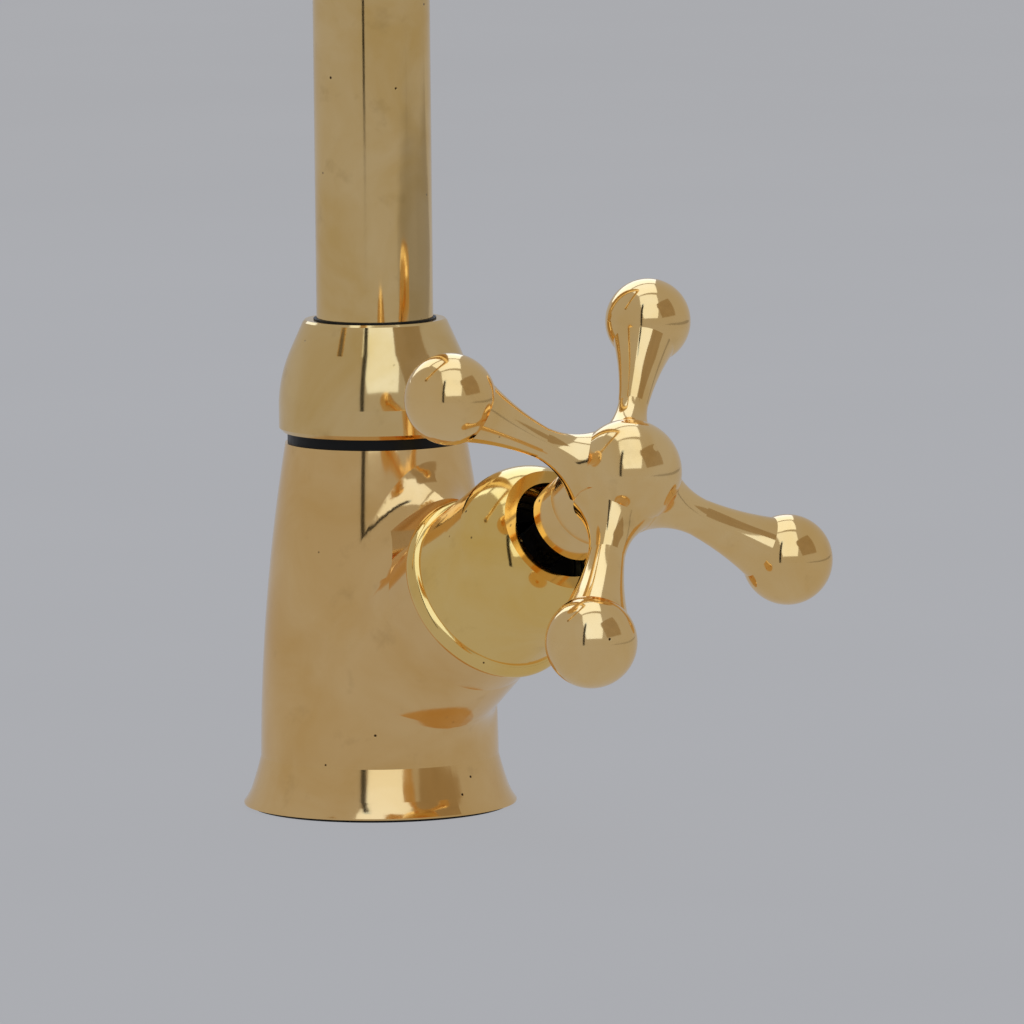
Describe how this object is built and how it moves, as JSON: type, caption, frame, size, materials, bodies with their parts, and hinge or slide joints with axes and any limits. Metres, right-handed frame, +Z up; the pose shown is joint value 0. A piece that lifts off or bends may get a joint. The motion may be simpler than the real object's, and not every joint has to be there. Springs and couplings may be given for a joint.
{
  "type": "mixer tap",
  "caption": "Cross handle mixer tap in bare brass: flared column, bell bonnet on a rising side branch, swivelling swan neck spout and ceramic mixing cartridge.",
  "frame": {"origin": "centre of the underside, on the deck", "axes": "+Z up out of the deck along the column and the spout's swivel axis, spout reaching out along -Y at rest, handle branch leaving along +X and rising 31 degrees"},
  "size_m": [0.1256, 0.202, 0.3158],
  "materials": {
    "body_brass": "polished, aged bare brass with fine scratches and pits",
    "bell_brass": "polished, aged bare brass",
    "handle_brass": "polished, aged bare brass, a little pinker",
    "spout_brass": "polished, aged bare brass",
    "turned_brass": "as turned",
    "steel": "turned stainless steel",
    "black_rubber": "moulded",
    "black_plastic": "moulded, glossy",
    "white_plastic": "moulded",
    "white_ceramic": "lapped"
  },
  "bodies": {
    "root": {"tap_body": "body_brass", "base_seal": "black_rubber", "spout_stop_screw": "steel", "glide_ring": "black_plastic", "cartridge_base": "black_plastic", "cartridge_base_seals": "black_rubber", "disc_port_seals": "black_rubber", "fixed_ceramic_disc": "white_ceramic", "cartridge_housing": "black_plastic", "cartridge_nut": "turned_brass", "bell_bonnet": "bell_brass", "bell_o_ring": "black_rubber"},
    "spout": {"spout_collar": "spout_brass", "collar_wiper_ring": "black_rubber", "spout_tube": "spout_brass", "spout_spigot": "turned_brass", "spout_o_rings": "black_rubber", "outlet_ferrule": "spout_brass", "aerator_washer": "black_rubber", "aerator_insert": "white_plastic", "aerator_screen": "steel", "aerator_housing": "spout_brass"},
    "rotor": {"lever_yoke": "black_plastic", "lever_pin": "steel"},
    "lever": {"cartridge_lever": "steel", "cross_handle": "handle_brass", "handle_grub_screw": "steel"},
    "disc": {"disc_carrier": "white_plastic", "moving_ceramic_disc": "white_ceramic"}
  },
  "joints": [
    {"name": "spout_swivel", "type": "hinge", "parent": "root", "child": "spout", "pos_m": [0, 0, 0], "axis": [0, 0, 1], "continuous": true},
    {"name": "temperature_turn", "type": "hinge", "parent": "root", "child": "rotor", "pos_m": [0.04286, 0, 0.04865], "axis": [0.8572, 0, 0.515], "range_deg": [-45, 45]},
    {"name": "flow_tilt", "type": "hinge", "parent": "rotor", "child": "lever", "pos_m": [0.04286, 0, 0.04865], "axis": [0, -1, 0], "range_deg": [0, 15]},
    {"name": "disc_slide", "type": "slide", "parent": "rotor", "child": "disc", "axis": [0.515, 0, -0.8572], "range_m": [0, 0.0027]}
  ],
  "couplings": [
    {"joint": "disc_slide", "follows": "flow_tilt", "m_per_rad": 0.01012}
  ]
}
